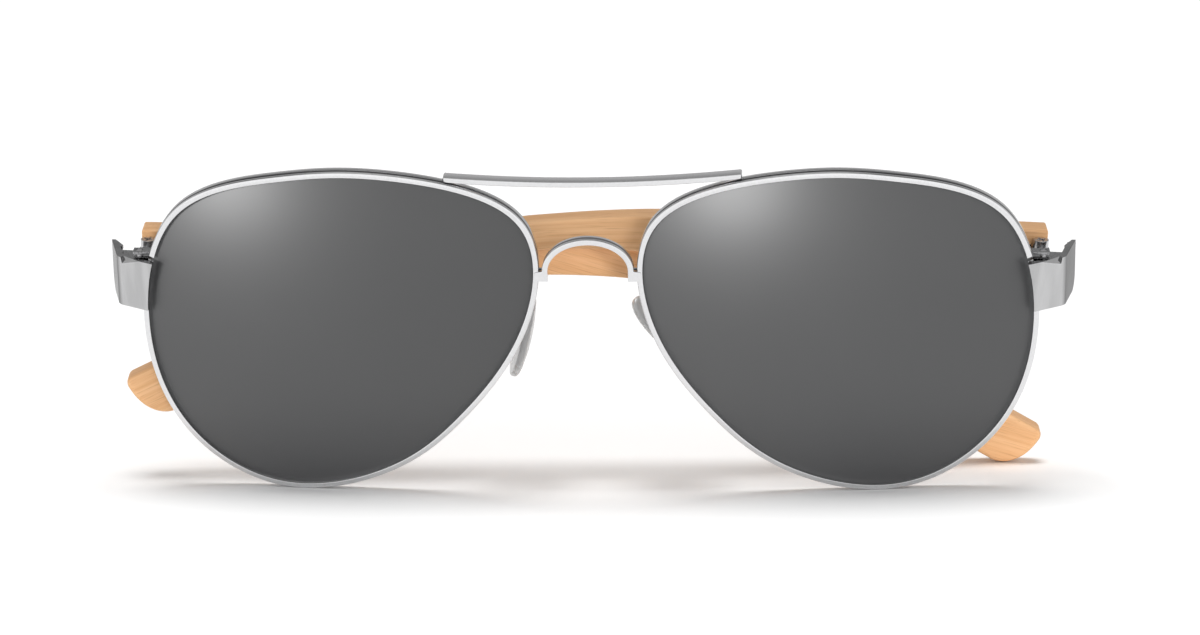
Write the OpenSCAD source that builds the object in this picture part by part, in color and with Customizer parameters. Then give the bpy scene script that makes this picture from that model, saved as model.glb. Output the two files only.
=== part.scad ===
// Folding sunglasses: a thin silver metal front with bamboo temples.
// Drawn folded, leaning forward on both rims and on the tip of the rear temple.
// Millimetres, +Z up, the lenses face -Y. Left and right are as seen from the front.

/* [Lenses] */
// Width of one lens opening
lens_w = 58; // [54:0.5:62]
// Height of one lens opening
lens_h = 48.7; // [45:0.5:52]
// Distance between the two lens openings
nose_gap = 16.2; // [15:0.2:19]
// Radius of the spherical lens curve
lens_r = 95; // [90:1:120]
// Lens thickness
lens_t = 1.1; // [0.9:0.05:1.15]

/* [Rims] */
// Rim width seen from the front
rim_w = 0.85; // [0.75:0.05:1.2]
// Rim depth from front to back
rim_depth = 2.4; // [2.3:0.05:3]
// Depth of the lens groove in the rim
groove_depth = 0.45; // [0.35:0.05:0.5]
// Height of the split that closes with the rim screw
rim_split = 0.45; // [0.3:0.05:0.6]

/* [Bridges] */
// Length of the straight brow bar
brow_len = 44; // [41:0.5:47]
// Height of the brow bar
brow_h = 0.8; // [0.6:0.05:1.2]
// Depth of the brow bar
brow_d = 2.6; // [2:0.1:3.2]
// How far the brow bar sits to the right of the middle
brow_shift = 0.8; // [-1:0.1:1]
// How far the middle of the brow bar bows forward
brow_bow = 2.0; // [1:0.1:2.6]
// Height of the lower bridge arch above its feet
arch_h = 5.1; // [4.6:0.1:5.6]
// Thickness of the arch at its top
arch_t = 0.85; // [0.7:0.05:1.1]
// Depth of the arch from front to back
arch_d = 2.15; // [1.8:0.05:2.4]

/* [End pieces] */
// Height of the end plate
strip_h = 7.2; // [6.8:0.1:8]
// How much further the end plate reaches down than up
strip_drop = 0.4; // [0:0.1:0.8]
// Thickness of the end plate
strip_t = 1.0; // [0.8:0.05:1.2]
// Height of the end plate centre above the lens centre
strip_rise = 6.6; // [6:0.1:7]
// Length of the side run of the end plate
strip_side = 8.1; // [7.6:0.05:8.7]

/* [Hinges] */
// Radius of the hinge barrel
barrel_r = 1.3; // [1.2:0.05:1.35]
// Height of the three hinge knuckles together
hinge_h = 3.6; // [3.2:0.1:3.9]
// Diameter of the hinge screw shank
pin_d = 1.2; // [1:0.05:1.3]
// Radial running clearance of pins in their bores
pin_play = 0.05; // [0.03:0.01:0.08]
// Lean of both hinge axes toward the right
axis_lean = 2.6; // [2.3:0.05:2.7]
// Angle that the front temple folds past square
over_fold = 2.4; // [2.2:0.1:2.8]
// Angle that the rear temple stays short of square
under_fold = 2.0; // [1.8:0.1:2.6]

/* [Temples] */
// Thickness of the bamboo temple
wood_t = 4.3; // [4:0.1:4.4]
// Temple height at the hinge
wood_h = 7.8; // [7.2:0.1:8.2]
// Temple height at its slim middle
waist_h = 4.4; // [4:0.1:4.8]
// Temple height at the ear tip
tip_h = 7.8; // [7.2:0.1:8.2]
// Straight length from the hinge to the start of the bend
straight_len = 56; // [52:0.5:58]
// Radius of the gentle first part of the bend
sway_r = 150; // [140:1:170]
// Radius of the ear bend
bend_r = 51; // [47:1:54]
// Slope of the ear tip below level
tip_slope = 28.5; // [27:0.5:29.5]
// Length of the tip behind the bend
tip_len = 48; // [46:0.5:49]

/* [Nose pads] */
// Length of a nose pad
pad_len = 13.5; // [12:0.5:14]
// Width of a nose pad
pad_w = 7.4; // [6.6:0.2:8]
// Thickness of a nose pad
pad_t = 2.0; // [1.8:0.1:2.2]
// Turn of the left pad about its long axis
pad_turn_left = 8; // [4:1:14]
// Tilt of the left pad away from upright
pad_tilt_left = 14; // [10:1:18]
// Turn of the right pad about its long axis
pad_turn_right = 26; // [20:1:30]
// Tilt of the right pad away from upright
pad_tilt_right = 50; // [44:1:54]
// Diameter of the pad arm wire
arm_d = 1.0; // [0.8:0.05:1.2]

/* [Hidden] */
$fn = 64;

// Gaps between soldered pieces and round seated pieces
solder = 0.03;
seat = 0.05;
front_lip = 0.75;
groove_w = lens_t + 2 * seat;

// Places of the lenses
lens_x = nose_gap / 2 + lens_w / 2;
lens_z = lens_h / 2 + rim_w;
apex_x = lens_x - 0.228 * lens_w / 2;

// Depth of the curved front behind its foremost point
function sag(x, z) = lens_r - sqrt(lens_r * lens_r - pow(x - apex_x, 2) - pow(z - lens_z, 2));

// Lens outline: a smooth closed curve drawn by ten corner points in half widths and half heights
corners = [[1.05, -0.02], [0.93, 0.83], [0.27, 0.99], [-0.18, 1.04], [-1.06, 0.83],
  [-0.98, 0.01], [-0.60, -0.53], [-0.30, -0.87], [0.34, -1.10], [0.87, -0.70]];
corner_n = len(corners);
per_corner = 10;
function knot(i) = corners[(i + corner_n) % corner_n];
function curve(i, t) = (pow(1 - t, 3) * knot(i - 1) + (3 * t * t * t - 6 * t * t + 4) * knot(i)
  + (-3 * t * t * t + 3 * t * t + 3 * t + 1) * knot(i + 1) + t * t * t * knot(i + 2)) / 6;
raw = [for (i = [0 : corner_n - 1]) for (k = [0 : per_corner - 1]) curve(i, k / per_corner)];
raw_x = [for (p = raw) p[0]];
raw_z = [for (p = raw) p[1]];
raw_w = max(raw_x) - min(raw_x);
raw_h = max(raw_z) - min(raw_z);
raw_mid = [(max(raw_x) + min(raw_x)) / 2, (max(raw_z) + min(raw_z)) / 2];
opening = [for (p = raw)
  [(p[0] - raw_mid[0]) * lens_w / raw_w, (p[1] - raw_mid[1]) * lens_h / raw_h]];
outline_n = len(opening);
function along(i) = opening[(i + 1) % outline_n] - opening[(i + outline_n - 1) % outline_n];
function outward(i) = [along(i)[1], -along(i)[0]] / norm(along(i));
function ring(grow) = [for (i = [0 : outline_n - 1]) opening[i] + grow * outward(i)];

// End plate seen from above: a front run, a rounded corner and a side run
strip_z = lens_z + strip_rise;
run_angle = 33;
side_angle = 76;
strip_round = 2.0;
strip_foot_r = 2.2;
strip_reach = 4.75;
edge_x = lens_x + lens_w / 2;
strip_corner = [edge_x + strip_reach, sag(edge_x, strip_z) - 1.0 + strip_reach * tan(run_angle)];
function dir(a) = [cos(a), sin(a)];
function side(a) = [sin(a), -cos(a)];
corner_cut = strip_round * tan((side_angle - run_angle) / 2);
strip_center = strip_corner - corner_cut * dir(run_angle) - strip_round * side(run_angle);
strip_start = strip_corner - 7.2 * dir(run_angle);
strip_end = strip_corner + strip_side * dir(side_angle);
function strip_line(inset) = concat([strip_start - inset * side(run_angle)],
  [for (k = [0 : 6]) let (a = run_angle + (side_angle - run_angle) * k / 6)
    strip_center + (strip_round - inset) * side(a)],
  [strip_end - inset * (side(side_angle) + dir(side_angle) / tan(side_angle))]);
function back(list) = [for (i = [len(list) - 1 : -1 : 0]) list[i]];
lip_in = 0.7;
lip_t = 0.9;
lip_slope = 40;

// Bevel on the top edge of the front run: nothing at the rim, deepest at the corner
bevel_run = 3.7;
bevel_drop = 1.0;
bevel_in = 0.75;

// Hinge axis, beside the end plate
wood_off = barrel_r + 0.15;
hinge_x = strip_end[0] - wood_off - 3.75;
hinge_y = strip_end[1] + 1.5;
knuckle_h = hinge_h / 3;
pin_r = pin_d / 2;
bore_r = pin_r + pin_play;
head_r = 1.15;
head_h = 1.3;

// Temple outline: hinge end, straight run, two arcs down to the ear, straight tip with a rounded end
rise = 1.4;
sway_slope = 6;
wood_front = 1.1;
sway_start = straight_len;
sway_center = [sway_start, 0.1 + sway_start * tan(rise)] - sway_r * [-sin(rise), cos(rise)];
bend_start = sway_start + sway_r * (sway_slope + rise) * PI / 180;
bend_center = sway_center + (sway_r - bend_r) * [sin(sway_slope), cos(sway_slope)];
tip_start = bend_start + bend_r * (tip_slope - sway_slope) * PI / 180;
tip_corner = bend_center + bend_r * [sin(tip_slope), cos(tip_slope)];
wood_len = tip_start + tip_len;
heights = [[0, wood_h], [20, wood_h - 0.5], [40, wood_h - 1.1], [straight_len, waist_h + 1.5],
  [straight_len + 10, waist_h + 0.6], [bend_start, waist_h], [bend_start + 12, waist_h + 0.5],
  [tip_start, tip_h - 1.8], [tip_start + 18, tip_h - 0.5], [wood_len - 12, tip_h], [wood_len, tip_h]];
function turn_at(u) = u <= sway_start ? -rise
  : u <= bend_start ? (u - sway_start) / sway_r * 180 / PI - rise
  : min(tip_slope, (u - bend_start) / bend_r * 180 / PI + sway_slope);
function up_at(u) = [sin(turn_at(u)), cos(turn_at(u))];
function center_at(u) = u <= sway_start ? [u, 0.1 + u * tan(rise)]
  : u <= bend_start ? sway_center + sway_r * up_at(u)
  : u <= tip_start ? bend_center + bend_r * up_at(u)
  : tip_corner + (u - tip_start) * [cos(tip_slope), -sin(tip_slope)];
function half_at(u) = lookup(u, heights) / 2;
function blade_at(u, h) = center_at(u) + h * up_at(u);
function edge_at(u, up) = blade_at(u, up * half_at(u));
stations = concat([-wood_front, 10, 20, 30, 40, 48],
  [for (k = [0 : 4]) sway_start + (bend_start - sway_start) * k / 4],
  [for (k = [1 : 8]) bend_start + (tip_start - bend_start) * k / 8],
  [tip_start + 9, tip_start + 18, tip_start + 26, wood_len - 12]);
tip_round = 4.8;
tip_corner_r = 1.1;
tip_drop = tip_h - tip_corner_r;
tip_curve = [for (k = [0 : 15])
  blade_at(wood_len - tip_round * (1 - sin(6 * k)), tip_h / 2 - tip_corner_r - tip_drop * cos(6 * k))];
tip_top = [for (k = [1 : 5])
  blade_at(wood_len - tip_corner_r * (1 - cos(18 * k)), tip_h / 2 - tip_corner_r * (1 - sin(18 * k)))];
wood_outline = concat([for (u = stations) edge_at(u, -1)], tip_curve, tip_top,
  [for (u = back(stations)) edge_at(u, 1)]);

// Stance: lean forward until the rear temple tip stands level with the rims
function rear_point(p) = let (f = 90 - under_fold,
    q = [wood_off * cos(f) - p[0] * sin(f), wood_off * sin(f) + p[0] * cos(f), p[1]])
  [-(hinge_x + q[0] * cos(axis_lean) - q[2] * sin(axis_lean)), hinge_y + q[1],
    strip_z + q[0] * sin(axis_lean) + q[2] * cos(axis_lean)];
rim_foot = [0, sag(lens_x + 0.2 * lens_w / 2, 0), 0];
tip_points = concat([for (u = stations) if (u > tip_start) rear_point(edge_at(u, -1))],
  [for (p = tip_curve) rear_point(p)]);
lean = max([for (p = tip_points) atan2(rim_foot[2] - p[2], p[1] - rim_foot[1])]);
lift = -rim_foot[1] * sin(lean);
tip_back = rear_point(center_at(wood_len));
shift_y = ((lens_z * 2 + 0.8) * sin(lean) - 2.2) / 2 - (tip_back[1] + wood_t) / 2;

// Nose pad places
pad_at = [nose_gap / 2 + 3.7, 9.6, lens_z - 2.0];
pad_move_right = [0.8, 0, 1.8];
pad_pin_r = 0.4;
pad_pin_x = 1.05;
pad_box_x = 2.5;

module stand() {
  translate([0, shift_y, lift])
    rotate([lean, 0, 0])
      children();
}

module prism(grow) {
  translate([lens_x, 20, lens_z])
    rotate([90, 0, 0])
      linear_extrude(24)
        polygon(ring(grow));
}

module ball(inset) {
  translate([apex_x, lens_r, lens_z])
    sphere(r = lens_r - inset, $fn = 240);
}

module rim_envelope() {
  intersection() {
    prism(rim_w + solder);
    ball(-solder);
  }
}

module rim() {
  difference() {
    intersection() {
      prism(rim_w);
      ball(0);
    }
    ball(rim_depth);
    prism(0);
    difference() {
      intersection() {
        prism(groove_depth);
        ball(front_lip);
      }
      ball(front_lip + groove_w);
    }
    translate([lens_x + lens_w / 2 - 3, -2, strip_z + strip_h / 2])
      cube([6, 20, rim_split]);
  }
}

module lens() {
  difference() {
    intersection() {
      prism(groove_depth - seat);
      ball(front_lip + seat);
    }
    ball(front_lip + seat + lens_t);
  }
}

// Brow bar: its front view and its plan, both gentle arcs, cut each other out
brow_z = 2 * lens_z - 1.45;
brow_slope = 0.012;
function brow_arc(x) = 1 - pow(2 * (x - brow_shift) / brow_len, 2);
function brow_dip(x) = brow_slope * brow_shift / 0.8 * x - 0.35 * brow_arc(x);
function brow_y(x) = sag(brow_len / 2, 2 * lens_z) + 0.1 - brow_bow * brow_arc(x);
brow_xs = [for (k = [-12 : 12]) brow_shift + k * brow_len / 24];

module brow_bar() {
  color("Silver")
    stand()
      difference() {
        intersection() {
          translate([0, 20, brow_z])
            rotate([90, 0, 0])
              linear_extrude(30)
                polygon(concat([for (x = brow_xs) [x, brow_dip(x)]],
                  [for (x = back(brow_xs)) [x, brow_dip(x) + brow_h]]));
          translate([0, 0, brow_z - 5])
            linear_extrude(10)
              polygon(concat([for (x = brow_xs) [x, brow_y(x)]],
                [for (x = back(brow_xs)) [x, brow_y(x) + brow_d]]));
        }
        rim_envelope();
        mirror([1, 0, 0])
          rim_envelope();
      }
}

// Lower bridge: an arch on two squared feet, bowed a little forward
arch_rise = 9.9;
arch_foot_z = lens_z + arch_rise;
arch_out = nose_gap / 2 - rim_w - 0.45;
arch_in = arch_out - arch_t;
foot_out = nose_gap / 2 + 0.6;
foot_h = 1.5;
function arch_y(x) = sag(nose_gap / 2, arch_foot_z) + 0.05 - 0.5 * (1 - pow(x / foot_out, 2));
arch_xs = [for (k = [-8 : 8]) k * foot_out / 8];

module nose_bridge() {
  color("Silver")
    stand()
      difference() {
        intersection() {
          translate([0, 20, arch_foot_z])
            rotate([90, 0, 0])
              linear_extrude(30)
                polygon(concat([[foot_out, -foot_h], [foot_out, 0]],
                  [for (a = [0 : 6 : 180]) [arch_out * cos(a), arch_h * sin(a)]],
                  [[-foot_out, 0], [-foot_out, -foot_h], [-arch_in, -foot_h]],
                  [for (a = [180 : -6 : 0]) [arch_in * cos(a), (arch_h - arch_t) * sin(a)]],
                  [[arch_in, -foot_h]]));
          translate([0, 0, arch_foot_z - 5])
            linear_extrude(16)
              polygon(concat([for (x = arch_xs) [x, arch_y(x)]],
                [for (x = back(arch_xs)) [x, arch_y(x) + arch_d]]));
        }
        rim_envelope();
        mirror([1, 0, 0])
          rim_envelope();
      }
}

// End plate, with two lips turned in at its rear end above and below the hinge
module end_piece() {
  difference() {
    union() {
      translate([0, 0, strip_z - strip_h / 2 - strip_drop])
        linear_extrude(strip_h + strip_drop)
          polygon(concat(strip_line(0), back(strip_line(strip_t))));
      for (m = [0, 1])
        translate([strip_end[0], strip_end[1], strip_z])
          mirror([0, 0, m])
            translate([0, 0, hinge_h / 2 + 0.4])
              linear_extrude(strip_h / 2 - hinge_h / 2 - 0.4)
                polygon([[-0.3, 0], [-strip_t - lip_in, 0], [-strip_t - lip_in, -lip_t], [-0.6, -lip_t]]);
    }
    rim_envelope();
    prism(0);
    translate([strip_end[0], strip_end[1], strip_z - strip_h / 2 - strip_drop])
      difference() {
        translate([-6, -strip_foot_r, -1])
          cube([8, strip_foot_r + 1, strip_foot_r + 1]);
        translate([0, -strip_foot_r, strip_foot_r])
          rotate([0, 90, 0])
            cylinder(r = strip_foot_r, h = 20, center = true);
      }
    for (m = [0, 1])
      translate([strip_end[0], strip_end[1], strip_z])
        mirror([0, 0, m])
          translate([-0.6, -lip_t - 0.2, strip_h / 2])
            rotate([0, -lip_slope, 0])
              translate([-4, 0, 0])
                cube([4, 2, 4]);
    translate([strip_corner[0], strip_corner[1], strip_z + strip_h / 2])
      rotate([0, 0, run_angle])
        translate([-corner_cut - bevel_run, 0, 0])
          rotate([0, atan(bevel_drop / bevel_run), 0])
            rotate([-atan(bevel_in / bevel_drop), 0, 0])
              translate([0, -4, 0])
                cube([bevel_run, 4, 4]);
  }
}

// Everything on the outer side of the end plate's inner face
module strip_block() {
  translate([0, 0, strip_z - 8])
    linear_extrude(16)
      polygon(concat(strip_line(-6), back(strip_line(strip_t + solder))));
}

// Closing blocks of the split rim, one each side of the split, with their screw
block_at = [lens_x + lens_w / 2 + 1.4, sag(lens_x + lens_w / 2, strip_z) + 2.5];
block_top = strip_z + strip_h / 2;
close_r = 0.5;

module closing_blocks() {
  difference() {
    union() {
      translate([block_at[0] - 2.8, block_at[1] - 1.0, block_top - 1.9])
        cube([3.7, 2.0, 1.9]);
      translate([block_at[0] - 2.8, block_at[1] - 1.0, block_top + rim_split])
        cube([3.7, 2.0, 0.45]);
    }
    rim_envelope();
    strip_block();
    translate([block_at[0], block_at[1], block_top - 5])
      cylinder(r = close_r + seat, h = 9);
  }
}

module closing_screw() {
  translate([block_at[0], block_at[1], block_top])
    difference() {
      union() {
        translate([0, 0, -2.8])
          cylinder(r = 0.8, h = 0.87);
        translate([0, 0, -2.4])
          cylinder(r = close_r, h = 2.4 + rim_split + 0.4);
      }
      translate([-0.12, -1.5, -2.9])
        cube([0.24, 3, 0.45]);
    }
}

module at_hinge() {
  translate([hinge_x, hinge_y, strip_z])
    rotate([0, axis_lean, 0])
      children();
}

module at_hinge_left() {
  mirror([1, 0, 0])
    translate([hinge_x, hinge_y, strip_z])
      rotate([0, -axis_lean, 0])
        children();
}

// Front hinge half: two lugs on a root against the inner face of the end plate
module front_hinge_shape() {
  difference() {
    union() {
      for (z = [-hinge_h / 2, hinge_h / 2 - knuckle_h + seat])
        translate([0, 0, z]) {
          cylinder(r = barrel_r, h = knuckle_h - seat);
          linear_extrude(knuckle_h - seat)
            polygon([[-barrel_r, 0], [-0.7, -3], [1.9, -5.8], [4.4, -5.8], [4.4, -1.6],
              [1.35, -1.6], [barrel_r, 0]]);
        }
      translate([0, 0, -hinge_h / 2])
        linear_extrude(hinge_h)
          polygon([[1.6, -3.4], [1.9, -5.8], [4.4, -5.8], [4.4, -1.6], [2.2, -1.6]]);
    }
    translate([0, 0, -hinge_h])
      cylinder(r = bore_r, h = 2 * hinge_h);
  }
}

module front_hinge(lean_side) {
  difference() {
    translate([hinge_x, hinge_y, strip_z])
      rotate([0, lean_side * axis_lean, 0])
        front_hinge_shape();
    strip_block();
  }
}

module hinge_screw_shape() {
  difference() {
    union() {
      translate([0, 0, -hinge_h / 2])
        cylinder(r = pin_r, h = hinge_h + 0.2);
      translate([0, 0, hinge_h / 2 + solder])
        cylinder(r = head_r, h = head_h);
    }
    for (a = [0, 90])
      translate([0, 0, hinge_h / 2 + head_h - 0.35])
        rotate([0, 0, a + 30])
          translate([-0.75, -0.17, 0])
            cube([1.5, 0.34, 1]);
  }
}

// Temple pieces are drawn open: length along Y, outer face toward +X, axis along Z
leaf_t = 0.8;
leaf_len = 20;
leaf_h = 3.6;
leaf_x = wood_off - 0.1;
leaf_y = 1.3;
rivet_y = [8, 16];
rivet_r = 0.55;

module temple_wood() {
  difference() {
    translate([wood_off, 0, 0])
      rotate([90, 0, 90])
        linear_extrude(wood_t)
          polygon(wood_outline);
    translate([0, leaf_y - solder, -leaf_h / 2 - solder])
      cube([leaf_x + leaf_t + solder, leaf_len + 2 * solder, leaf_h + 2 * solder]);
    for (y = rivet_y)
      translate([0, y, 0])
        rotate([0, 90, 0])
          cylinder(r = rivet_r + solder, h = wood_off + 3);
  }
}

module temple_hinge_shape() {
  difference() {
    union() {
      translate([0, 0, -knuckle_h / 2])
        cylinder(r = barrel_r, h = knuckle_h);
      translate([0, 0, -knuckle_h / 2])
        linear_extrude(knuckle_h)
          polygon([[-0.4, 1.2], [leaf_x, 3.8], [leaf_x + 0.3, 3.8], [leaf_x + 0.3, leaf_y],
            [leaf_x, leaf_y], [1.28, 0.2], [0, 0]]);
      translate([leaf_x, leaf_y, -leaf_h / 2])
        cube([leaf_t, leaf_len, leaf_h]);
    }
    translate([0, 0, -hinge_h])
      cylinder(r = bore_r, h = 2 * hinge_h);
    for (y = rivet_y)
      translate([0, y, 0])
        rotate([0, 90, 0])
          cylinder(r = rivet_r + solder, h = 9);
  }
}

module temple_screws_shape() {
  for (y = rivet_y)
    translate([leaf_x, y, 0])
      rotate([0, 90, 0])
        difference() {
          union() {
            translate([0, 0, -0.4])
              cylinder(r = 0.95, h = 0.4 - solder);
            translate([0, 0, -0.2])
              cylinder(r = rivet_r, h = 3);
          }
          translate([-1.2, -0.12, -0.5])
            cube([2.4, 0.24, 0.25]);
        }
}

module fold_right() {
  stand()
    at_hinge()
      rotate([0, 0, 90 + over_fold])
        children();
}

module fold_left() {
  stand()
    at_hinge_left()
      rotate([0, 0, 90 - under_fold])
        children();
}

// Nose pad pieces are drawn upright: the pad faces -X, its width lies along Y
module at_pad(turn, tilt, move = [0, 0, 0]) {
  translate(pad_at + move)
    rotate([0, -tilt, 0])
      rotate([0, 0, -turn])
        translate([-pad_pin_x, 0, 0])
          children();
}

module pad_shape() {
  difference() {
    union() {
      intersection() {
        rotate([0, -90, 0])
          linear_extrude(pad_t)
            polygon([for (a = [0 : 7.5 : 352.5])
              [pad_len / 2 * cos(a), pad_w / 2 * sin(a) * (1 - 0.12 * cos(a))]]);
        translate([26 - pad_t, 0, 0])
          sphere(r = 26, $fn = 160);
      }
      translate([-0.3, -0.65, -0.75])
        cube([1.85, 1.3, 1.5]);
    }
    translate([pad_pin_x, 0, 0])
      rotate([90, 0, 0])
        cylinder(r = pad_pin_r + pin_play, h = 6, center = true);
  }
}

module pad_box_shape() {
  difference() {
    translate([0.4, -1.3, -1.5])
      cube([pad_box_x - 0.4, 2.6, 3]);
    translate([0, -0.75, -2])
      cube([pad_box_x - 0.5, 1.5, 4]);
    translate([pad_pin_x, 0, 0])
      rotate([90, 0, 0])
        cylinder(r = pad_pin_r + 0.02, h = 6, center = true);
  }
}

module pad_screw_shape() {
  translate([pad_pin_x, 0, 0])
    rotate([90, 0, 0])
      difference() {
        union() {
          translate([0, 0, -1.3])
            cylinder(r = pad_pin_r, h = 2.9);
          translate([0, 0, 1.3 + solder])
            cylinder(r = 0.7, h = 0.5);
        }
        translate([-0.1, -1, 1.3 + 0.35])
          cube([0.2, 2, 1]);
      }
}

// Pad arm: a round wire from the back of the rim, round to the pad box
function pad_turned(turn, p) =
  [p[0] * cos(turn) + p[1] * sin(turn), p[1] * cos(turn) - p[0] * sin(turn), p[2]];
function pad_tilted(tilt, c) =
  [c[0] * cos(tilt) - c[2] * sin(tilt), c[1], c[0] * sin(tilt) + c[2] * cos(tilt)];
function unit(v) = v / norm(v);
function pad_world(turn, tilt, move, p) = pad_at + move + pad_tilted(tilt, pad_turned(turn, p));
arm_root = [lens_x + opening[51][0] - rim_w / 2, 0, lens_z + opening[51][1]];

module rod(a, b, r) {
  d = b - a;
  translate(a)
    rotate([0, acos(d[2] / norm(d)), atan2(d[1], d[0])])
      cylinder(r = r, h = norm(d));
}

module pad_arm(turn, tilt, move = [0, 0, 0]) {
  box_back = pad_world(turn, tilt, move, [pad_box_x - pad_pin_x + solder, 0, 0]);
  box_out = pad_world(turn, tilt, move, [pad_box_x - pad_pin_x + 1.1, 0, 0]);
  root = [arm_root[0], sag(arm_root[0], arm_root[2]) + rim_depth - 0.6, arm_root[2]];
  turn_way = unit(unit(box_out - box_back) + unit(root - box_out));
  knee = box_out + 2.2 * turn_way;
  r = arm_d / 2;
  intersection() {
    ball(rim_depth + solder);
    union() {
      rod(root, knee, r);
      rod(knee, box_out, r);
      rod(box_out, box_back, r);
      for (p = [knee, box_out])
        translate(p)
          sphere(r = 1.4 * r);
    }
  }
}

module both_left() {
  stand()
    mirror([1, 0, 0])
      children();
}

module rim_left() {
  color("Silver")
    both_left()
      rim();
}

module rim_right() {
  color("Silver")
    stand()
      rim();
}

module lens_left() {
  color("DimGray")
    both_left()
      lens();
}

module lens_right() {
  color("DimGray")
    stand()
      lens();
}

module end_piece_left() {
  color("Silver")
    both_left()
      end_piece();
}

module end_piece_right() {
  color("Silver")
    stand()
      end_piece();
}

module closing_blocks_left() {
  color("Silver")
    both_left()
      closing_blocks();
}

module closing_blocks_right() {
  color("Silver")
    stand()
      closing_blocks();
}

module closing_screw_left() {
  color("Gainsboro")
    both_left()
      closing_screw();
}

module closing_screw_right() {
  color("Gainsboro")
    stand()
      closing_screw();
}

module front_hinge_left() {
  color("Silver")
    both_left()
      front_hinge(-1);
}

module front_hinge_right() {
  color("Silver")
    stand()
      front_hinge(1);
}

module hinge_screw_left() {
  color("Gainsboro")
    stand()
      at_hinge_left()
        hinge_screw_shape();
}

module hinge_screw_right() {
  color("Gainsboro")
    stand()
      at_hinge()
        hinge_screw_shape();
}

module temple_hinge_left() {
  color("Silver")
    fold_left()
      temple_hinge_shape();
}

module temple_hinge_right() {
  color("Silver")
    fold_right()
      temple_hinge_shape();
}

module temple_screws_left() {
  color("Gainsboro")
    fold_left()
      temple_screws_shape();
}

module temple_screws_right() {
  color("Gainsboro")
    fold_right()
      temple_screws_shape();
}

module temple_left() {
  color("Peru")
    fold_left()
      temple_wood();
}

module temple_right() {
  color("Peru")
    fold_right()
      temple_wood();
}

module pad_arm_left() {
  color("Silver")
    both_left()
      pad_arm(pad_turn_left, pad_tilt_left);
}

module pad_arm_right() {
  color("Silver")
    stand()
      pad_arm(pad_turn_right, pad_tilt_right, pad_move_right);
}

module pad_box_left() {
  color("Silver")
    both_left()
      at_pad(pad_turn_left, pad_tilt_left)
        pad_box_shape();
}

module pad_box_right() {
  color("Silver")
    stand()
      at_pad(pad_turn_right, pad_tilt_right, pad_move_right)
        pad_box_shape();
}

module nose_pad_left() {
  color("WhiteSmoke")
    both_left()
      at_pad(pad_turn_left, pad_tilt_left)
        pad_shape();
}

module nose_pad_right() {
  color("WhiteSmoke")
    stand()
      at_pad(pad_turn_right, pad_tilt_right, pad_move_right)
        pad_shape();
}

module pad_screw_left() {
  color("Gainsboro")
    both_left()
      at_pad(pad_turn_left, pad_tilt_left)
        pad_screw_shape();
}

module pad_screw_right() {
  color("Gainsboro")
    stand()
      at_pad(pad_turn_right, pad_tilt_right, pad_move_right)
        pad_screw_shape();
}

rim_left();
rim_right();
lens_left();
lens_right();
brow_bar();
nose_bridge();
end_piece_left();
end_piece_right();
closing_blocks_left();
closing_blocks_right();
closing_screw_left();
closing_screw_right();
front_hinge_left();
front_hinge_right();
hinge_screw_left();
hinge_screw_right();
temple_hinge_left();
temple_hinge_right();
temple_screws_left();
temple_screws_right();
temple_left();
temple_right();
pad_arm_left();
pad_arm_right();
pad_box_left();
pad_box_right();
nose_pad_left();
nose_pad_right();
pad_screw_left();
pad_screw_right();
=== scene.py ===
"""Looks for the folding sunglasses: smooth metal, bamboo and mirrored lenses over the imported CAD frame."""

import math

import bpy
import numpy as np
from mathutils import Matrix, Vector


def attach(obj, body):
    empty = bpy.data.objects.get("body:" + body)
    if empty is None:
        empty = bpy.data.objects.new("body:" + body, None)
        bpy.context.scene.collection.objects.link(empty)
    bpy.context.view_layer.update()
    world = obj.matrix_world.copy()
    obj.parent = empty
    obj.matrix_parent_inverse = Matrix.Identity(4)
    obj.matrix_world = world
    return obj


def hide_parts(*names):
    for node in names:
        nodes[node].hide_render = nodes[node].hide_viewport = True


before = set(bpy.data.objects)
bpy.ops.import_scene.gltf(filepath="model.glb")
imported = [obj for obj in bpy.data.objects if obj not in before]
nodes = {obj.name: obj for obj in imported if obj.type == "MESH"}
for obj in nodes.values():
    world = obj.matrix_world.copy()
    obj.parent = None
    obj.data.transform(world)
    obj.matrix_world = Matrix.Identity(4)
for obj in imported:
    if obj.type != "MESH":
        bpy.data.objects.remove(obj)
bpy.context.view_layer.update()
SIDES = ("left", "right")

# Sizes in millimetres, as in the CAD source, in the frame of the upright front
MM = 0.001
LEAN, LIFT, SHIFT = math.radians(10.6496), -0.785066, -10.9356
LENS_W, LENS_H, NOSE_GAP, LENS_R, LENS_T = 58.0, 48.7, 16.2, 95.0, 1.1
RIM_W, RIM_DEPTH, FRONT_LIP, SPLIT = 0.85, 2.4, 0.8, 0.45
LENS_X = NOSE_GAP / 2 + LENS_W / 2
LENS_Z = LENS_H / 2 + RIM_W
APEX_X = LENS_X - 0.228 * LENS_W / 2
STRIP_Z, STRIP_H = LENS_Z + 6.6, 7.2
HINGE = (67.6096, 18.6191, 31.8)
AXIS_LEAN, OVER_FOLD, UNDER_FOLD = math.radians(2.6), 2.4, 2.0
WOOD_OFF, WOOD_T = 1.45, 4.3
PAD_AT = {"left": (11.8, 9.6, 23.2), "right": (12.6, 9.6, 25.0)}
PAD_TURNS = {"left": (8, 14), "right": (26, 50)}
EDGE_R = 0.14
SHARP_ANGLE = math.radians(38)


def row(points):
    """Millimetres in the upright frame to metres in the row frame, which leans forward."""
    p = np.asarray(points, float).reshape(-1, 3)
    y = p[:, 1] * math.cos(LEAN) - p[:, 2] * math.sin(LEAN) + SHIFT
    z = p[:, 1] * math.sin(LEAN) + p[:, 2] * math.cos(LEAN) + LIFT
    return np.column_stack([p[:, 0], y, z]) * MM


def mirrored(points):
    return np.asarray(points, float) * (-1, 1, 1)


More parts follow.
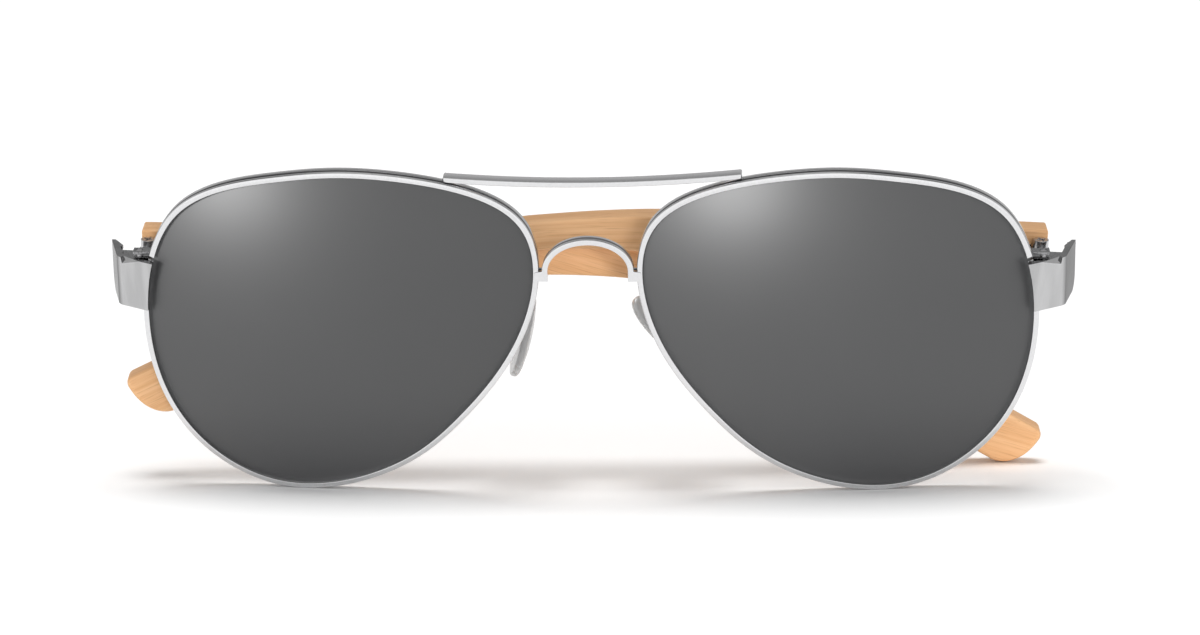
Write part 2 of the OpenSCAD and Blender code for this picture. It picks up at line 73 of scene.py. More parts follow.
def sag(x, z, depth=0.0):
    """Distance behind the front of the spherical surface that lies depth below it."""
    inner = (LENS_R - depth) ** 2 - (x - APEX_X) ** 2 - (z - LENS_Z) ** 2
    return LENS_R - np.sqrt(inner)


# Mesh helpers

def add_mesh(name, points, faces, paint, body, replaced, flip=False):
    """A smooth mesh piece from points in the upright frame, riding on a body in place of CAD nodes."""
    mesh = bpy.data.meshes.new(name)
    faces = [tuple(reversed(f)) for f in faces] if flip else faces
    mesh.from_pydata([tuple(p) for p in row(points)], [], faces)
    mesh.validate()
    mesh.polygons.foreach_set("use_smooth", [True] * len(mesh.polygons))
    mesh.set_sharp_from_angle(angle=SHARP_ANGLE)
    mesh.materials.append(paint)
    piece = bpy.data.objects.new(name, mesh)
    bpy.context.scene.collection.objects.link(piece)
    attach(piece, body)
    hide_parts(*replaced)
    return piece


def grid_faces(rows, cols):
    """Quads of a grid of points, row by row, with each row closed on itself."""
    faces = []
    for i in range(rows - 1):
        for j in range(cols):
            a, b = i * cols + j, i * cols + (j + 1) % cols
            faces.append((a, b, b + cols, a + cols))
    return faces


def loft(sections):
    """Points and faces of a tube through closed sections, with both ends capped."""
    rows, cols = len(sections), len(sections[0])
    faces = grid_faces(rows, cols)
    faces.append(tuple(reversed(range(cols))))
    faces.append(tuple(range((rows - 1) * cols, rows * cols)))
    return np.concatenate(sections), faces


def shade_band(piece, rows, cols, first, width):
    """Gives a band of faces along a loft a dark material: painted shade and dark reflection in a groove."""
    piece.data.materials.append(groove)
    for k, face in enumerate(piece.data.polygons[:(rows - 1) * cols]):
        face.material_index = int(first <= k % cols < first + width)


def arc(x, y, radius, start, end, count):
    """Points of an arc about a centre, between two angles in degrees."""
    angles = np.radians(np.linspace(start, end, count))
    return [(x + radius * math.cos(a), y + radius * math.sin(a)) for a in angles]


def rounded_box(width, height, radius, steps=4):
    """Outline of a rounded rectangle about its middle, counter-clockwise from its lower right corner."""
    out = []
    for k, (sx, sy) in enumerate([(1, -1), (1, 1), (-1, 1), (-1, -1)]):
        start = -90 + 90 * k
        cx, cy = sx * (width / 2 - radius), sy * (height / 2 - radius)
        out += arc(cx, cy, radius, start, start + 90, steps + 1)
    return np.array(out)


# Lens outline: the closed curve of the CAD source, drawn finer

CORNERS = np.array([(1.05, -0.02), (0.93, 0.83), (0.27, 0.99), (-0.18, 1.04), (-1.06, 0.83),
                    (-0.98, 0.01), (-0.60, -0.53), (-0.30, -0.87), (0.34, -1.10), (0.87, -0.70)])
ROUND = len(CORNERS)
PER_CORNER = 10
NEAR = 1e-3


def curve(t):
    """Point of the uniform cubic B-spline at t corners along it."""
    i = np.floor(t).astype(int)
    f = (t - i)[:, None]
    k = [CORNERS[(i + j) % ROUND] for j in (-1, 0, 1, 2)]
    return ((1 - f) ** 3 * k[0] + (3 * f ** 3 - 6 * f ** 2 + 4) * k[1]
            + (-3 * f ** 3 + 3 * f ** 2 + 3 * f + 1) * k[2] + f ** 3 * k[3]) / 6


coarse = curve(np.arange(ROUND * PER_CORNER) / PER_CORNER)
CURVE_MID = (coarse.max(0) + coarse.min(0)) / 2
CURVE_SCALE = np.array([LENS_W, LENS_H]) / (coarse.max(0) - coarse.min(0))


def outline(t):
    """Outline points about the lens centre and their outward directions."""
    t = np.asarray(t, float)
    p = (curve(t) - CURVE_MID) * CURVE_SCALE
    d = (curve(t + NEAR) - curve(t - NEAR)) * CURVE_SCALE
    d /= np.linalg.norm(d, axis=1)[:, None]
    return p, np.column_stack([d[:, 1], -d[:, 0]])


def at_lens(p, depth):
    """Outline-plane points set on the sphere at a depth below the front of the rim."""
    x, z = LENS_X + p[:, 0], LENS_Z + p[:, 1]
    return np.column_stack([x, sag(x, z, depth), z])


# Node graphs

class Graph:
    """A node tree, with short calls for the nodes that the finishes share."""

    def __init__(self, node_tree):
        self.nodes = node_tree.nodes
        self.links = node_tree.links

    def node(self, kind, linked, **values):
        """A node with some of its input sockets linked and others set, by name."""
        n = self.nodes.new(kind)
        for key, source in linked.items():
            self.links.new(source, n.inputs[key])
        for key, value in values.items():
            n.inputs[key.replace("_", " ")].default_value = value
        return n

    def noise(self, vector, scale, detail, roughness=0.5):
        n = self.node("ShaderNodeTexNoise", {"Vector": vector}, Scale=scale, Detail=detail,
                      Roughness=roughness)
        return n.outputs["Fac"]

    def placed(self, vector, scale, location=(0, 0, 0)):
        n = self.node("ShaderNodeMapping", {"Vector": vector}, Scale=scale, Location=location)
        return n.outputs["Vector"]

    def spread(self, value, low, high, start=0.3, end=0.7):
        """Maps a value that runs from start to end to a range."""
        n = self.node("ShaderNodeMapRange", {"Value": value}, From_Min=start, From_Max=end,
                      To_Min=low, To_Max=high)
        return n.outputs["Result"]

    def tones(self, value, first, last, start=0.0, end=1.0):
        """A colour that runs from first to last as a value runs from start to end."""
        n = self.node("ShaderNodeValToRGB", {"Fac": value})
        for element, color, position in zip(n.color_ramp.elements, (first, last), (start, end)):
            element.color = (*color, 1)
            element.position = position
        return n.outputs["Color"]

    def dimmed(self, tone, share):
        """A colour times a value."""
        n = self.nodes.new("ShaderNodeVectorMath")
        n.operation = "SCALE"
        self.links.new(tone, n.inputs[0])
        self.links.new(share, n.inputs["Scale"])
        return n.outputs["Vector"]

    def calc(self, operation, *values, clamp=False):
        """Result of a math node on linked values."""
        n = self.nodes.new("ShaderNodeMath")
        n.operation = operation
        n.use_clamp = clamp
        for socket, value in zip(n.inputs, values):
            self.links.new(value, socket)
        return n.outputs["Value"]

    def mixed(self, data_type, factor, first, second):
        """A mix of two colours or numbers, of which the first may be a socket."""
        n = self.nodes.new("ShaderNodeMix")
        n.data_type = data_type
        self.links.new(factor, n.inputs["Factor"])
        if isinstance(first, bpy.types.NodeSocket):
            self.links.new(first, n.inputs["A"])
        else:
            n.inputs["A"].default_value = first
        n.inputs["B"].default_value = second
        return n.outputs["Result"]

    def axes(self, vector):
        return self.node("ShaderNodeSeparateXYZ", {"Vector": vector}).outputs


class Finish(Graph):
    """The graph of a new material, with its shader and its place on the piece."""

    def __init__(self, name):
        self.material = bpy.data.materials.new(name)
        self.material.use_nodes = True
        super().__init__(self.material.node_tree)
        self.bsdf = self.nodes["Principled BSDF"]
        coords = self.nodes.new("ShaderNodeTexCoord")
        self.at, self.facing = coords.outputs["Object"], coords.outputs["Normal"]

    def set(self, socket, value):
        self.bsdf.inputs[socket].default_value = value

    def drive(self, socket, source):
        self.links.new(source, self.bsdf.inputs[socket])

    def bump(self, height, strength, distance):
        n = self.node("ShaderNodeBump", {"Height": height}, Strength=strength, Distance=distance)
        self.drive("Normal", n.outputs["Normal"])


# Finishes

POLISH_SCALE, STREAK_SCALE = 160.0, 420.0
BRUSH_BUMP = (0.03, 0.00002)


def metal(name, color, rough, grain, stretch=(1, 1, 1), bands=1.0, low=0.93, painted_side_shade=None, edge=1.0):
    """Polished metal with faint uneven polish and fine brush marks down to low times its colour.

    With bands under 1 it has darker streaks, and a side shade given as (start, end, share) darkens its colour
    on faces turned to the sides: painted shade.
    Its gloss at a flat angle is edge.
    """
    f = Finish(name)
    f.set("Metallic", 1.0)
    f.set("Specular Tint", (edge, edge, edge, 1))
    brushed = f.placed(f.at, stretch)
    marks = f.noise(brushed, grain, 3.0, 0.6)
    f.drive("Roughness", f.spread(f.noise(f.at, POLISH_SCALE, 4.0), *rough))
    tone = f.tones(marks, [c * low for c in color], color, 0.3, 0.75)
    if bands < 1:
        streak = f.noise(brushed, STREAK_SCALE, 1.0)
        tone = f.dimmed(tone, f.spread(streak, bands, 1.0, 0.36, 0.58))
    # Painted shade: the colour is darkened on faces turned to the sides
    if painted_side_shade:
        start, end, share = painted_side_shade
        sideways = f.calc("ABSOLUTE", f.axes(f.facing)["X"])
        tone = f.dimmed(tone, f.spread(sideways, 1.0, share, start, end))
    f.drive("Base Color", tone)
    f.bump(marks, *BRUSH_BUMP)
    return f.material


silver = metal("silver", (0.75, 0.75, 0.76), (0.14, 0.2), 2600.0)
# Painted shade: a dark metal that stands for the shade and dark reflections in grooves
groove = metal("painted_groove_shade", (0.13, 0.13, 0.135), (0.3, 0.4), 2600.0)
# The plate's sides get painted shade
satin = metal("satin_plate", (0.54, 0.54, 0.545), (0.16, 0.24), 3200.0, stretch=(1, 1, 0.03), bands=0.86,
              painted_side_shade=(0.6, 0.92, 0.58), edge=0.5)
# Dark base and deep marks: partly the chrome's own tone, partly painted shade inside the hinge
chrome = metal("hinge_chrome", (0.42, 0.42, 0.43), (0.1, 0.18), 4200.0, low=0.3)
steel = metal("screw_steel", (0.6, 0.6, 0.61), (0.24, 0.34), 3600.0)


def clouded(name, scale, first, last, rough, ior):
    """A smooth material whose colour and gloss vary a little in broad clouds."""
    f = Finish(name)
    cloud = f.noise(f.at, scale, 2.0)
    f.drive("Base Color", f.tones(cloud, first, last))
    f.drive("Roughness", f.spread(cloud, *rough))
    f.set("IOR", ior)
    return f


def bamboo(name, pale, mid, dark):
    """Bamboo: long fibres along the grain attribute, with darker dashes where vessels are cut."""
    f = Finish(name)
    grain = f.nodes.new("ShaderNodeAttribute")
    grain.attribute_name = "grain"

    def fibre(scale, detail, seed):
        vector = f.placed(grain.outputs["Vector"], scale, (seed, seed * 0.7, seed * 1.3))
        return f.noise(vector, 1.0, detail, 0.55)

    broad = fibre((0.016, 0.55, 0.5), 3.0, 3.1)
    streak = fibre((0.03, 3.2, 3.0), 4.0, 7.7)
    dash = fibre((0.16, 7.5, 7.5), 2.0, 12.4)
    both = f.calc("ADD", f.spread(broad, 0.0, 0.5), f.spread(streak, 0.0, 0.5))
    tone = f.tones(both, mid, pale, 0.2, 0.8)
    vessels = f.spread(dash, 0.0, 0.55, 0.58, 0.72)
    f.drive("Base Color", f.mixed("RGBA", vessels, tone, (*dark, 1)))
    f.drive("Roughness", f.spread(streak, 0.42, 0.56))
    f.set("Specular IOR Level", 0.35)
    f.bump(streak, 0.18, 0.00008)
    return f.material


mirror_lens = clouded("mirror_lens", 45.0, (0.041, 0.0415, 0.043), (0.045, 0.0455, 0.047), (0.35, 0.375),
                      1.62).material
wood = bamboo("bamboo", (0.90, 0.545, 0.285), (0.80, 0.435, 0.2), (0.52, 0.235, 0.085))
silicone = clouded("pad_silicone", 90.0, (0.44, 0.44, 0.44), (0.52, 0.52, 0.52), (0.2, 0.34), 1.41)
silicone.set("Transmission Weight", 0.3)
pad_soft = silicone.material


# Front: rims, lenses and bridges

BEAD_R, BACK_R = 0.2, 0.12
GROOVE = [(RIM_W, 0.42), (RIM_W - 0.05, 0.48), (RIM_W - 0.24, 0.56), (RIM_W - 0.3, 0.76), (RIM_W - 0.27, 1.1),
          (RIM_W - 0.03, 1.2), (RIM_W, 1.26)]
RIM_STEPS = 420
LENS_STEPS, LENS_RINGS, LENS_BITE, LENS_HEART = 300, 26, 0.4, 0.04


def rim_section():
    """Rim profile as (grow, depth): a rounded front bead, a groove behind it and a flat flange."""
    back = RIM_DEPTH - BACK_R
    return (arc(EDGE_R, EDGE_R, EDGE_R, 180, 270, 5) + arc(RIM_W - BEAD_R, BEAD_R, BEAD_R, -90, 0, 7) + GROOVE
            + arc(RIM_W - BACK_R, back, BACK_R, 0, 90, 5) + arc(BACK_R, back, BACK_R, 90, 180, 4))


def split_at(z):
    """Where the outline passes a height on its temple side."""
    t = np.linspace(0, 1.5, 1500)
    return float(np.interp(z, outline(t)[0][:, 1], t))


def rim(side):
    top = STRIP_Z + STRIP_H / 2 - LENS_Z
    p, n = outline(np.linspace(split_at(top + SPLIT), ROUND + split_at(top), RIM_STEPS))
    section = rim_section()
    rings = np.stack([at_lens(p + g * n, d) for g, d in section], axis=1)
    points, faces = loft(list(rings))
    points = mirrored(points) if side == "left" else points
    piece = add_mesh(f"rim_{side}_bead", points, faces, silver, "front", [f"rim_{side}"],
                     flip=side == "left")
    # The groove's faces get painted shade
    shade_band(piece, RIM_STEPS, len(section), section.index(GROOVE[1]), len(GROOVE) - 3)


def lens(side):
    p, n = outline(np.linspace(0, ROUND, LENS_STEPS, endpoint=False))
    p = p + LENS_BITE * n
    shells = []
    for depth in (FRONT_LIP, FRONT_LIP + LENS_T):
        shells.append([at_lens(p * s, depth) for s in np.linspace(LENS_HEART, 1, LENS_RINGS)])
    points, faces = loft(shells[0] + shells[1][::-1])
    points = mirrored(points) if side == "left" else points
    add_mesh(f"lens_{side}_shell", points, faces, mirror_lens, "front", [f"lens_{side}"],
             flip=side == "left")


BROW_LEN, BROW_H, BROW_D, BROW_BOW, BROW_SHIFT = 44.0, 0.8, 2.6, 2.0, 0.8
BROW_Z = 2 * LENS_Z - 1.45
BROW_Y = float(sag(BROW_LEN / 2, 2 * LENS_Z)) + 0.1
BROW_TILT, BROW_DIP, BROW_STEPS = 0.012, 0.35, 60
BROW_EASE, BROW_TIP = 0.18, 0.08


def brow_section(u, inset):
    """Section of the brow bar at u from its middle, made smaller by inset on each side."""
    x = u + BROW_SHIFT
    rise = 1 - (2 * u / BROW_LEN) ** 2
    y = BROW_Y - BROW_BOW * rise + BROW_D / 2
    z = BROW_Z + BROW_TILT * x - BROW_DIP * rise + BROW_H / 2
    box = rounded_box(BROW_D - 2 * inset, BROW_H - 2 * inset, EDGE_R - inset * 0.5)
    return np.array([(x, y + a, z + b) for a, b in box])


def brow_bar():
    """The bar, whose last sections shrink, so that its ends are eased."""
    half = BROW_LEN / 2
    steps = [(-half, BROW_EASE), (-half + BROW_TIP, BROW_EASE * 0.45), (-half + BROW_EASE, 0)]
    steps += [(u, 0) for u in np.linspace(-half + BROW_EASE, half - BROW_EASE, BROW_STEPS)[1:-1]]
    steps += [(half - BROW_EASE, 0), (half - BROW_TIP, BROW_EASE * 0.45), (half, BROW_EASE)]
    points, faces = loft([brow_section(u, inset) for u, inset in steps])
    add_mesh("brow_bar_rod", points, faces, silver, "front", ["brow_bar"])


ARCH_H, ARCH_T, ARCH_D = 5.1, 0.85, 2.15
ARCH_Z = LENS_Z + 9.9
ARCH_OUT = NOSE_GAP / 2 - RIM_W - 0.45
ARCH_Y = float(sag(NOSE_GAP / 2, ARCH_Z)) + 0.05
ARCH_BOW, ARCH_BOW_X = 0.5, 8.7
FOOT_OUT, FOOT_H = NOSE_GAP / 2 - 0.2, 1.5

# Dip along the arch's upper side as (place across it, depth), after the points of two corners of its section
DIP = [(0.32, 0.0), (0.24, 0.2), (-0.3, 0.22), (-0.42, 0.0)]
DIP_AT = 10


def arch_section(outer, inner):
    """Section of the arch between an outer and an inner point, with the dip in its upper side."""
    a, b = np.array(outer), np.array(inner)
    width = np.linalg.norm(a - b)
    box = rounded_box(ARCH_D, width, EDGE_R)
    box = np.insert(box, DIP_AT, [(d, width / 2 - w) for d, w in DIP], axis=0)
    ring = []
    for d, w in box:
        x, z = (a + b) / 2 + (a - b) / width * w
        y = ARCH_Y - ARCH_BOW * (1 - (x / ARCH_BOW_X) ** 2) + ARCH_D / 2 + d
        ring.append((x, y, ARCH_Z + z))
    return np.array(ring)


def nose_bridge():
    inner_r = ARCH_OUT - ARCH_T
    outer = [(FOOT_OUT, -FOOT_H), (FOOT_OUT, -FOOT_H / 2), (FOOT_OUT, -0.12), (ARCH_OUT + 0.25, 0.0)]
    inner = [(inner_r, -FOOT_H), (inner_r, -FOOT_H / 2), (inner_r, -0.2), (inner_r, -0.1)]
    for a in np.radians(np.linspace(1, 90, 32)):
        outer.append((ARCH_OUT * math.cos(a), ARCH_H * math.sin(a)))
        inner.append((inner_r * math.cos(a), (ARCH_H - ARCH_T) * math.sin(a)))
    outer += [(-x, z) for x, z in outer[-2::-1]]
    inner += [(-x, z) for x, z in inner[-2::-1]]
    sections = [arch_section(o, i) for o, i in zip(outer, inner)]
    points, faces = loft(sections)
    piece = add_mesh("nose_bridge_arch", points, faces, silver, "front", ["nose_bridge"],
                     flip=True)
    # The dip's faces get painted shade
    shade_band(piece, len(sections), len(sections[0]), DIP_AT, len(DIP) - 1)


# Temples

STRAIGHT, SWAY_R, BEND_R = 56.0, 150.0, 51.0
WOOD_H, WAIST_H, TIP_H, TIP_SLOPE, TIP_LEN = 7.8, 4.4, 7.8, 28.5, 48.0
RISE, SWAY_SLOPE, WOOD_FRONT, WOOD_UP = 1.4, 6.0, 1.1, 0.1
TIP_ROUND, TIP_CORNER_R, TIP_EASE, TIP_THIN = 4.8, 1.1, 1.2, 0.62
BLADE_STEPS, TIP_STEPS = 130, 28

# Distance from the hinge end of the wood and how far its section shrinks there
END_EASE = [(0.0, 0.22), (0.04, 0.12), (0.12, 0.04), (0.25, 0.0)]
# Places along the wood and the radius of its edges there
EDGE_PLACES, EDGE_RADII = (10, 60, 110), (0.25, 0.4, 0.75)
# The right temple's fibres start at another place, and the left one's run through it at a slant
GRAIN_SHIFT, GRAIN_SLANT = 310, math.radians(15)


def sin_cos(a):
    return np.array([math.sin(math.radians(a)), math.cos(math.radians(a))])


def straight_at(u):
    return np.array([u, WOOD_UP + u * math.tan(math.radians(RISE))])


SWAY_CENTER = straight_at(STRAIGHT) - SWAY_R * sin_cos(-RISE)
BEND_START = STRAIGHT + SWAY_R * math.radians(SWAY_SLOPE + RISE)
BEND_CENTER = SWAY_CENTER + (SWAY_R - BEND_R) * sin_cos(SWAY_SLOPE)
TIP_START = BEND_START + BEND_R * math.radians(TIP_SLOPE - SWAY_SLOPE)
TIP_CORNER = BEND_CENTER + BEND_R * sin_cos(TIP_SLOPE)
WOOD_LEN = TIP_START + TIP_LEN
HEIGHTS = np.array([(0, WOOD_H), (20, WOOD_H - 0.5), (40, WOOD_H - 1.1), (STRAIGHT, WAIST_H + 1.5),
                    (STRAIGHT + 10, WAIST_H + 0.6), (BEND_START, WAIST_H), (BEND_START + 12, WAIST_H + 0.5),
                    (TIP_START, TIP_H - 1.8), (TIP_START + 18, TIP_H - 0.5), (WOOD_LEN - 12, TIP_H),
                    (WOOD_LEN, TIP_H)])
AVERAGED = np.linspace(-4, 4, 9)


def smooth_height(u):
    """Blade height, averaged a little along the length so that no corner shows."""
    return float(np.mean(np.interp(u + AVERAGED, HEIGHTS[:, 0], HEIGHTS[:, 1])))


def quarter_round(left, radius):
    """Height of a quarter circle of radius 1 where left remains of its radius."""
    return math.sqrt(max(0.0, 1 - (1 - left / radius) ** 2))


def blade(u):
    """Centre, upward direction and reach below and above it of the temple blade at u along it."""
    if u <= STRAIGHT:
        slope = -RISE
        center = straight_at(u)
    elif u <= BEND_START:
        slope = math.degrees((u - STRAIGHT) / SWAY_R) - RISE
        center = SWAY_CENTER + SWAY_R * sin_cos(slope)
    elif u <= TIP_START:
        slope = math.degrees((u - BEND_START) / BEND_R) + SWAY_SLOPE
        center = BEND_CENTER + BEND_R * sin_cos(slope)
    else:
        slope = TIP_SLOPE
        along = sin_cos(slope)
        center = TIP_CORNER + (u - TIP_START) * np.array([along[1], -along[0]])
    low = high = smooth_height(u) / 2
    left = WOOD_LEN - u
    if left < TIP_ROUND:
        low = (TIP_H - TIP_CORNER_R) * quarter_round(left, TIP_ROUND) - (high - TIP_CORNER_R)
    if left < TIP_CORNER_R:
        high -= TIP_CORNER_R * (1 - quarter_round(left, TIP_CORNER_R))
    return center, sin_cos(slope), low, high


def folded(points, side):
    """Open-temple points to the upright frame, with the temple folded about its hinge."""
    p = np.asarray(points, float)
    fold = math.radians(90 + OVER_FOLD if side == "right" else 90 - UNDER_FOLD)
    lean = AXIS_LEAN if side == "right" else -AXIS_LEAN
    x = p[:, 0] * math.cos(fold) - p[:, 1] * math.sin(fold)
    y = p[:, 0] * math.sin(fold) + p[:, 1] * math.cos(fold)
    z = p[:, 2]
    across = x * math.cos(lean) + z * math.sin(lean)
    up = -x * math.sin(lean) + z * math.cos(lean)
    q = np.column_stack([across, y, up]) + np.array(HINGE)
    return mirrored(q) if side == "left" else q


def grain_at(side, u, a, b, place):
    """Place in the wood: fibres follow the blade at the right and run straight through it at the left."""
    if side == "right":
        return u + GRAIN_SHIFT, a, b
    y, z = place
    along = y * math.cos(GRAIN_SLANT) - z * math.sin(GRAIN_SLANT)
    return along, a, y * math.sin(GRAIN_SLANT) + z * math.cos(GRAIN_SLANT)


def temple(side):
    steps = [(d - WOOD_FRONT, inset) for d, inset in END_EASE]
    steps += [(u, 0.0) for u in np.linspace(1, WOOD_LEN - TIP_ROUND, BLADE_STEPS)]
    for a in np.radians(np.linspace(4, 88, TIP_STEPS)):
        steps.append((WOOD_LEN - TIP_ROUND * (1 - math.sin(a)), 0.0))
    sections, grain = [], []
    for u, inset in steps:
        center, up, low, high = blade(u)
        left = WOOD_LEN - u
        taper = quarter_round(left, TIP_EASE) if left < TIP_EASE else 1.0
        thick = (WOOD_T - 2 * inset) * (TIP_THIN + (1 - TIP_THIN) * taper)
        tall = max(low + high - 2 * inset, 0.3)
        edge = np.interp(u, EDGE_PLACES, EDGE_RADII)
        ring = []
        for a, b in rounded_box(thick, tall, min(edge, tall * 0.45, thick * 0.45), 5):
            b = b + (high - low) / 2
            y, z = center + b * up
            ring.append((WOOD_OFF + WOOD_T / 2 + a, y, z))
            grain.append(grain_at(side, u, a, b, (y, z)))
        sections.append(np.array(ring))
    points, faces = loft(sections)
    piece = add_mesh(f"temple_{side}_bamboo", folded(points, side), faces, wood, f"temple_{side}",
                     [f"temple_{side}"], flip=side == "left")
    attribute = piece.data.attributes.new("grain", "FLOAT_VECTOR", "POINT")
    attribute.data.foreach_set("vector", np.array(grain, np.float32).ravel())


# Nose pads

PAD_LEN, PAD_W, PAD_PIN, PAD_DROP = 13.5, 7.4, 1.05, 0.12
# Share of the pad's outline and distance from its flat side, round from the flat side to the domed one
PAD_PROFILE = [(0.04, 0.0), (0.3, 0.0), (0.6, 0.0), (0.9, -0.02), (0.97, -0.1), (0.995, -0.26), (1.0, -0.5),
               (1.0, -0.8), (0.985, -1.02), (0.94, -1.2), (0.86, -1.34), (0.7, -1.54), (0.45, -1.78),
               (0.2, -1.92), (0.04, -1.96)]
# Width, height and edge radius of the pad's stem, and its sections as (distance, share of that size)
STEM_BOX = (1.3, 1.5, 0.2)
STEM_PROFILE = [(-0.3, 1), (1.3, 1), (1.5, 0.9), (1.55, 0.75)]


def pad_to_front(points, side):
    """Upright pad points to the upright frame."""
    turn, tilt = (math.radians(a) for a in PAD_TURNS[side])
    p = np.asarray(points, float) - (PAD_PIN, 0, 0)
    x = p[:, 0] * math.cos(turn) + p[:, 1] * math.sin(turn)
    y = p[:, 1] * math.cos(turn) - p[:, 0] * math.sin(turn)
    z = p[:, 2]
    across = x * math.cos(tilt) - z * math.sin(tilt)
    up = x * math.sin(tilt) + z * math.cos(tilt)
    q = np.column_stack([across, y, up]) + np.array(PAD_AT[side])
    return mirrored(q) if side == "left" else q


def nose_pad(side):
    angles = np.radians(np.arange(0, 360, 6))
    width = PAD_W / 2 * np.sin(angles) * (1 - PAD_DROP * np.cos(angles))
    drop = np.column_stack([width, PAD_LEN / 2 * np.cos(angles)])
    rings = [np.column_stack([np.full(len(drop), d), drop * s]) for s, d in PAD_PROFILE]
    points, faces = loft(rings)
    stem = rounded_box(*STEM_BOX)
    stem_rings = [np.column_stack([np.full(len(stem), d), stem * s]) for d, s in STEM_PROFILE]
    stem_points, stem_faces = loft(stem_rings)
    faces = faces + [tuple(i + len(points) for i in reversed(f)) for f in stem_faces]
    points = np.concatenate([points, stem_points])
    add_mesh(f"nose_pad_{side}_soft", pad_to_front(points, side), faces, pad_soft, f"nose_pad_{side}",
             [f"nose_pad_{side}"], flip=side == "right")


for name in SIDES:
    rim(name)
    lens(name)
    temple(name)
    nose_pad(name)
brow_bar()
nose_bridge()


# CAD pieces that stay: eased edges and a finish each

WELD_GAP = 1e-6
FLAT_ANGLE, EASE_ANGLE = math.radians(0.5), math.radians(35)
CAD_FINISHES = {"end_piece": (satin, 0.14), "closing_blocks": (chrome, 0.1), "front_hinge": (chrome, 0.1),
                "temple_hinge": (chrome, 0.08), "pad_box": (silver, 0.1), "pad_arm": (silver, 0.05),
                "closing_screw": (steel, 0.06), "hinge_screw": (steel, 0.06), "temple_screws": (steel, 0.06),
                "pad_screw": (steel, 0.06)}


def finish_node(name, paint, ease):
    """Gives a CAD node a finish and eases its edges by a width in millimetres."""
    piece = nodes[name]
    piece.data.materials.clear()
    piece.data.materials.append(paint)
    weld = piece.modifiers.new("weld", "WELD")
    weld.merge_threshold = WELD_GAP
    flat = piece.modifiers.new("flat", "DECIMATE")
    flat.decimate_type = "DISSOLVE"
    flat.angle_limit = FLAT_ANGLE
    bevel = piece.modifiers.new("ease", "BEVEL")
    bevel.width = ease * MM
    bevel.segments = 3
    bevel.limit_method = "ANGLE"
    bevel.angle_limit = EASE_ANGLE
    bevel.harden_normals = True
    normals = piece.modifiers.new("normals", "WEIGHTED_NORMAL")
    normals.keep_sharp = True


for name in SIDES:
    for kind, (paint, ease) in CAD_FINISHES.items():
        finish_node(f"{kind}_{name}", paint, ease)


# Floor and world

FLOOR_SEEN, FLOOR_BOUNCE, FLOOR_HALF = 1.06, 0.9, 6.0
FRONT_LIGHT, BACK_LIGHT, TOP_LIGHT = 1.25, 0.5, 0.21


def floor():
    """Pale floor, white to the eye and in mirrors, that keeps the shadows."""
    s = FLOOR_HALF
    mesh = bpy.data.meshes.new("floor")
    mesh.from_pydata([(-s, -s, 0), (s, -s, 0), (s, s, 0), (-s, s, 0)], [], [(0, 1, 2, 3)])
    f = Finish("floor_white")
    f.set("Roughness", 0.7)
    f.set("Specular IOR Level", 0.1)
    seen = f.nodes.new("ShaderNodeLightPath").outputs
    mirrors = f.calc("ADD", seen["Is Glossy Ray"], seen["Is Transmission Ray"])
    direct = f.calc("ADD", seen["Is Camera Ray"], mirrors, clamp=True)
    grey, white = (FLOOR_BOUNCE,) * 3 + (1,), (FLOOR_SEEN,) * 3 + (1,)
    f.drive("Base Color", f.mixed("RGBA", direct, grey, white))
    mesh.materials.append(f.material)
    plane = bpy.data.objects.new("floor", mesh)
    bpy.context.scene.collection.objects.link(plane)


def world_light():
    """Pale studio all round: bright in front, greyer behind and darker overhead, where the lamps are."""
    world = bpy.data.worlds.new("studio")
    bpy.context.scene.world = world
    world.use_nodes = True
    g = Graph(world.node_tree)
    toward = g.axes(g.nodes.new("ShaderNodeTexCoord").outputs["Generated"])
    front = g.spread(toward["Y"], FRONT_LIGHT, BACK_LIGHT, -0.5, 0.4)
    above = g.spread(toward["Z"], 0.0, 1.0, 0.4, 0.75)
    background = g.nodes["Background"]
    g.links.new(g.mixed("FLOAT", above, front, TOP_LIGHT), background.inputs["Strength"])
    background.inputs["Color"].default_value = (1, 1, 1, 1)


# Lamps: overhead light of four strengths, so that wood and metal don't clip to white, and on each side a lamp
# for the lens's highlight and a soft spot for the folded wood

OVERHEAD_FROM, OVERHEAD_ANGLE = (-0.05, 0.0, 1.0), 32
FLOOR_SUN, WOOD_SUN, METAL_SUN, HINGE_SUN = 1.95, 0.8, 0.17, 0.36
SHEEN_SIZE, SHEEN_Z, AIM_Z = (0.26, 0.12), 0.06, 0.03
SPOT_AT, SPOT_CONE, SPOT_BLEND, SPOT_SIZE = (0.18, -0.95, 0.16), 9.0, 0.35, 0.12
# Azimuth and power of the highlight's lamp, power of the spot and where it aims across
SIDE_LAMPS = {"left": (-38, 4.4, 42.0, 0.015), "right": (-11, 5.2, 19.0, -0.015)}


def add_lamp(name, kind, energy, at, target, pieces, state="INCLUDE"):
    """A lamp at a place, turned to a target, that lights only some pieces, or all but these."""
    lamp = bpy.data.lights.new(name, kind)
    lamp.energy = energy
    holder = bpy.data.objects.new(name, lamp)
    bpy.context.scene.collection.objects.link(holder)
    holder.location = at
    holder.rotation_euler = (Vector(target) - Vector(at)).to_track_quat("-Z", "Y").to_euler()
    group = bpy.data.collections.new(f"{name}_group")
    for piece in pieces:
        group.objects.link(bpy.data.objects[piece])
    for entry in group.collection_objects:
        entry.light_linking.link_state = state
    holder.light_linking.receiver_collection = group
    return lamp


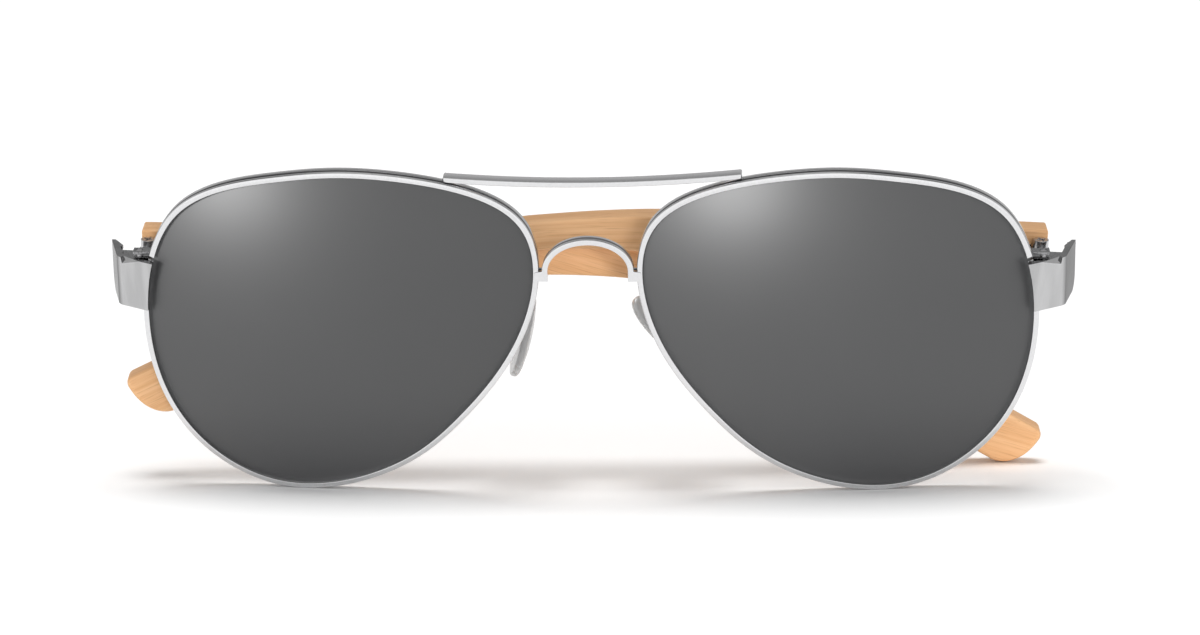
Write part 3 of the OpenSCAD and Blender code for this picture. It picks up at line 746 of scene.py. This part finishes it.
def overhead_lamps():
    blades = [f"temple_{name}_bamboo" for name in SIDES]
    shiny = ["brow_bar_rod", "nose_bridge_arch"]
    dark = []
    for name in SIDES:
        shiny += [f"rim_{name}_bead", nodes[f"end_piece_{name}"].name]
        for kind in ("closing_blocks", "closing_screw", "front_hinge", "temple_hinge", "hinge_screw"):
            dark.append(nodes[f"{kind}_{name}"].name)
    for name, strength, pieces, state in (("overhead", FLOOR_SUN, blades + shiny + dark, "EXCLUDE"),
                                          ("overhead_wood", WOOD_SUN, blades, "INCLUDE"),
                                          ("overhead_metal", METAL_SUN, shiny, "INCLUDE"),
                                          ("overhead_hinge", HINGE_SUN, dark, "INCLUDE")):
        sun = add_lamp(name, "SUN", strength, OVERHEAD_FROM, (0, 0, 0), pieces, state)
        sun.angle = math.radians(OVERHEAD_ANGLE)


def side_lamps():
    for name, (azimuth, sheen, fill, aim) in SIDE_LAMPS.items():
        a = math.radians(azimuth)
        at = (math.sin(a), -math.cos(a), SHEEN_Z)
        glow = add_lamp(f"sheen_{name}", "AREA", sheen, at, (0, 0, AIM_Z), [f"lens_{name}_shell"])
        glow.shape = "RECTANGLE"
        glow.size, glow.size_y = SHEEN_SIZE
        spot = add_lamp(f"fill_{name}", "SPOT", fill, SPOT_AT, (aim, 0, AIM_Z), [f"temple_{name}_bamboo"])
        spot.spot_size = math.radians(SPOT_CONE)
        spot.spot_blend = SPOT_BLEND
        spot.shadow_soft_size = SPOT_SIZE


# Camera at the photograph's viewing angle

CAMERA_AT, FOCAL_LENGTH, SENSOR = (0.026465, -0.607817, 0.125321), 122.04, 36.0
CAMERA_ACROSS = (0.999159, 0.040632, -0.005522)
CAMERA_UP = (-0.00116, 0.16262, 0.986688)
CAMERA_BACK = (0.040989, -0.985852, 0.16253)


def camera():
    data = bpy.data.cameras.new("camera")
    data.sensor_width = SENSOR
    data.lens = FOCAL_LENGTH
    data.clip_start = 0.01
    holder = bpy.data.objects.new("camera", data)
    bpy.context.scene.collection.objects.link(holder)
    turn = Matrix((CAMERA_ACROSS, CAMERA_UP, CAMERA_BACK)).transposed().to_4x4()
    holder.matrix_world = Matrix.Translation(CAMERA_AT) @ turn
    bpy.context.scene.camera = holder


floor()
world_light()
overhead_lamps()
side_lamps()
camera()
bpy.context.scene.view_settings.view_transform = "Standard"
